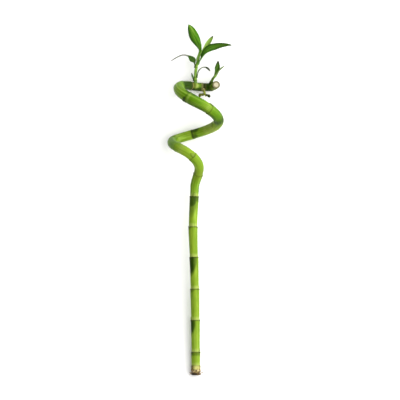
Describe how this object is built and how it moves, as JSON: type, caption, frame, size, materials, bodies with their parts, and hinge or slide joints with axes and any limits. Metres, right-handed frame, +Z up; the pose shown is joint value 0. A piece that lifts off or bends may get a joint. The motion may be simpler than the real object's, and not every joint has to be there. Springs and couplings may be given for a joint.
{
  "type": "lucky bamboo stalk",
  "caption": "Curly lucky bamboo stalk lying on its coil: a ringed green cane with a spiral top, a pale cut end, leafy side shoots and a rooted base.",
  "frame": {"origin": "centre of the bounding box at the surface that the stalk lies on", "axes": "+Y along the stalk from the rooted end to the leaves, +Z up from the surface, +X across the coil"},
  "size_m": [0.1124, 0.609, 0.0938],
  "materials": {
    "cane": "fresh green skin, satin, darker under each ring",
    "root": "matt brown callus with pinkish roots",
    "shoot": "fresh light green, satin",
    "leaf": "fresh leaf, satin, fine veins along its length",
    "young_leaf": "pale young leaf, satin"
  },
  "bodies": {
    "root": {"cane": "cane", "root_crown": "root", "main_shoot_stem": "shoot", "small_shoot_stem": "shoot", "bud_shoot": "shoot", "main_leaf_scale": "leaf", "main_leaf_thread": "leaf", "main_leaf_withered": "leaf", "main_leaf_right": "leaf", "main_leaf_left": "leaf", "main_leaf_spear": "young_leaf", "small_leaf_upright": "leaf", "small_leaf_side": "leaf"}
  },
  "joints": []
}
